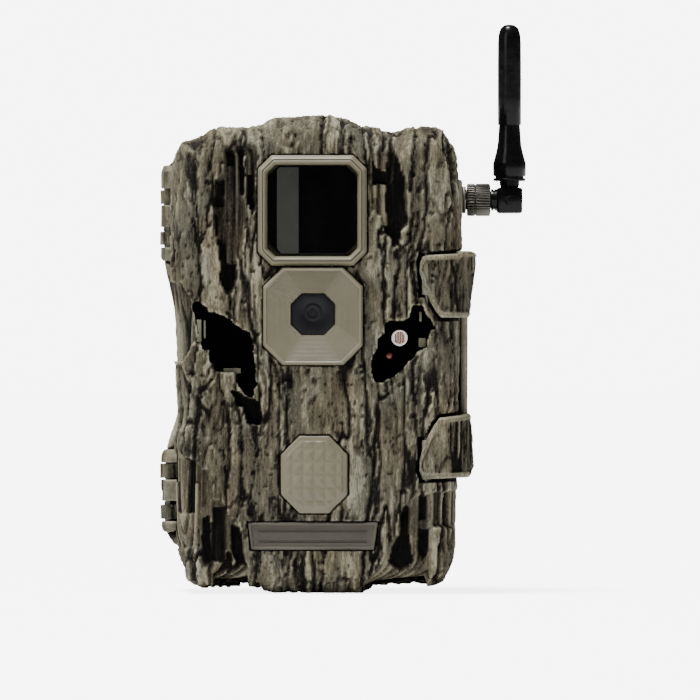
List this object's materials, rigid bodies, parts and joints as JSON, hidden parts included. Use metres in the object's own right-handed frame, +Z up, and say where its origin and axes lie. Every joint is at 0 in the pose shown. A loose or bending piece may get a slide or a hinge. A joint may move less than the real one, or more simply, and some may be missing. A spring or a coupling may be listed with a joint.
{
  "type": "trail camera",
  "caption": "Bark-textured trail camera with hinged front shell, side latch, battery tray, tree bracket and a tilting stub antenna.",
  "frame": {"origin": "on the flat base of the rear housing, below the middle of the case and just behind the seam between door and housing", "axes": "+Z up, the camera looks along -Y, +X towards the latch and antenna"},
  "size_m": [0.1107, 0.0799, 0.172],
  "materials": {
    "bark_plastic": "moulded bark relief, rubbed tan on the ridges and dark in the cracks",
    "tan_plastic": "fine moulded satin",
    "badge_plastic": "fine moulded satin",
    "black_plastic": "moulded satin",
    "dark_glass": "polished infrared-pass window",
    "lens_glass": "coated optical glass",
    "milky_lens": "faceted polyethylene lens",
    "circuit_board": "solder mask",
    "chip_metal": "tinned sheet",
    "contact_metal": "nickel plated strip",
    "steel": "turned pin",
    "brass": "turned brass",
    "black_metal": "black chrome plated",
    "antenna_rubber": "glossy moulded rubber",
    "seal_rubber": "soft matt rubber",
    "key_rubber": "matt silicone",
    "cell_wrap": "printed sleeve, plain",
    "sensor_ceramic": "lacquered ceramic",
    "led_red": "tinted lens",
    "card_plastic": "moulded"
  },
  "bodies": {
    "root": {"rear_housing": "bark_plastic", "door_gasket": "seal_rubber", "tree_bracket": "bark_plastic", "battery_tray": "black_plastic", "aa_cell_1": "cell_wrap", "aa_cell_2": "cell_wrap", "aa_cell_3": "cell_wrap", "aa_cell_4": "cell_wrap", "aa_cell_5": "cell_wrap", "aa_cell_6": "cell_wrap", "aa_cell_7": "cell_wrap", "aa_cell_8": "cell_wrap", "battery_contact_lower": "contact_metal", "battery_contact_upper": "contact_metal", "modem_board": "circuit_board", "modem_shield": "chip_metal", "tripod_insert": "brass", "power_jack": "black_plastic", "power_port_plug": "seal_rubber", "hinge_pin_upper": "steel", "hinge_pin_lower": "steel", "antenna_jack": "brass", "jack_lock_nut": "steel"},
    "door": {"front_shell": "bark_plastic", "ir_window_bezel": "tan_plastic", "ir_window_glass": "dark_glass", "ir_led_board": "circuit_board", "lens_plate": "tan_plastic", "lens_window": "dark_glass", "lens_barrel": "black_plastic", "front_lens": "lens_glass", "lens_holder": "black_plastic", "image_sensor": "chip_metal", "pir_lens": "milky_lens", "pir_sensor": "chip_metal", "sensor_insert": "black_plastic", "microphone_insert": "black_plastic", "light_sensor": "sensor_ceramic", "status_led": "led_red", "badge_plate": "badge_plastic", "main_board": "circuit_board", "control_panel": "black_plastic", "lcd_screen": "dark_glass", "sd_socket": "chip_metal", "latch_pin_upper": "steel", "latch_pin_lower": "steel"},
    "latch": {"latch_lever": "bark_plastic"},
    "antenna_nut": {"antenna_nut": "black_metal"},
    "antenna_elbow": {"antenna_elbow": "antenna_rubber", "antenna_pivot_pin": "steel"},
    "antenna_whip": {"antenna_whip": "antenna_rubber"},
    "button_ok": {"button_ok": "key_rubber"},
    "button_up": {"button_up": "key_rubber"},
    "button_down": {"button_down": "key_rubber"},
    "button_left": {"button_left": "key_rubber"},
    "button_right": {"button_right": "key_rubber"},
    "power_switch": {"power_switch": "key_rubber"},
    "memory_card": {"sd_card": "card_plastic"},
    "night_filter": {"ir_cut_filter": "lens_glass"}
  },
  "joints": [
    {"name": "door_hinge", "type": "hinge", "parent": "root", "child": "door", "pos_m": [-0.0433, -0.004, 0], "axis": [0, 0, -1], "range_deg": [0, 110]},
    {"name": "latch_pivot", "type": "hinge", "parent": "door", "child": "latch", "pos_m": [0.0344, -0.0324, 0], "axis": [0, 0, -1], "range_deg": [0, 34]},
    {"name": "antenna_nut_spin", "type": "hinge", "parent": "root", "child": "antenna_nut", "pos_m": [0.05, 0.006, 0.1187], "axis": [1, 0, 0], "continuous": true},
    {"name": "antenna_swivel", "type": "hinge", "parent": "root", "child": "antenna_elbow", "pos_m": [0.055, 0.006, 0.1187], "axis": [1, 0, 0], "range_deg": [-170, 170]},
    {"name": "antenna_tilt", "type": "hinge", "parent": "antenna_elbow", "child": "antenna_whip", "pos_m": [0.0599, 0.006, 0.1185], "axis": [0, 1, 0], "range_deg": [0, 90]},
    {"name": "switch_slide", "type": "slide", "parent": "door", "child": "power_switch", "axis": [1, 0, 0], "range_m": [0, 0.006]},
    {"name": "card_push", "type": "slide", "parent": "door", "child": "memory_card", "axis": [0, 0, 1], "range_m": [0, 0.0012], "stiffness_N_per_m": 150, "springref_m": -0.0003},
    {"name": "night_filter_slide", "type": "slide", "parent": "door", "child": "night_filter", "axis": [1, 0, 0], "range_m": [0, 0.006]},
    {"name": "button_ok_press", "type": "slide", "parent": "door", "child": "button_ok", "axis": [0, -1, 0], "range_m": [0, 0.0006], "stiffness_N_per_m": 400},
    {"name": "button_up_press", "type": "slide", "parent": "door", "child": "button_up", "axis": [0, -1, 0], "range_m": [0, 0.0006], "stiffness_N_per_m": 400},
    {"name": "button_down_press", "type": "slide", "parent": "door", "child": "button_down", "axis": [0, -1, 0], "range_m": [0, 0.0006], "stiffness_N_per_m": 400},
    {"name": "button_left_press", "type": "slide", "parent": "door", "child": "button_left", "axis": [0, -1, 0], "range_m": [0, 0.0006], "stiffness_N_per_m": 400},
    {"name": "button_right_press", "type": "slide", "parent": "door", "child": "button_right", "axis": [0, -1, 0], "range_m": [0, 0.0006], "stiffness_N_per_m": 400}
  ]
}
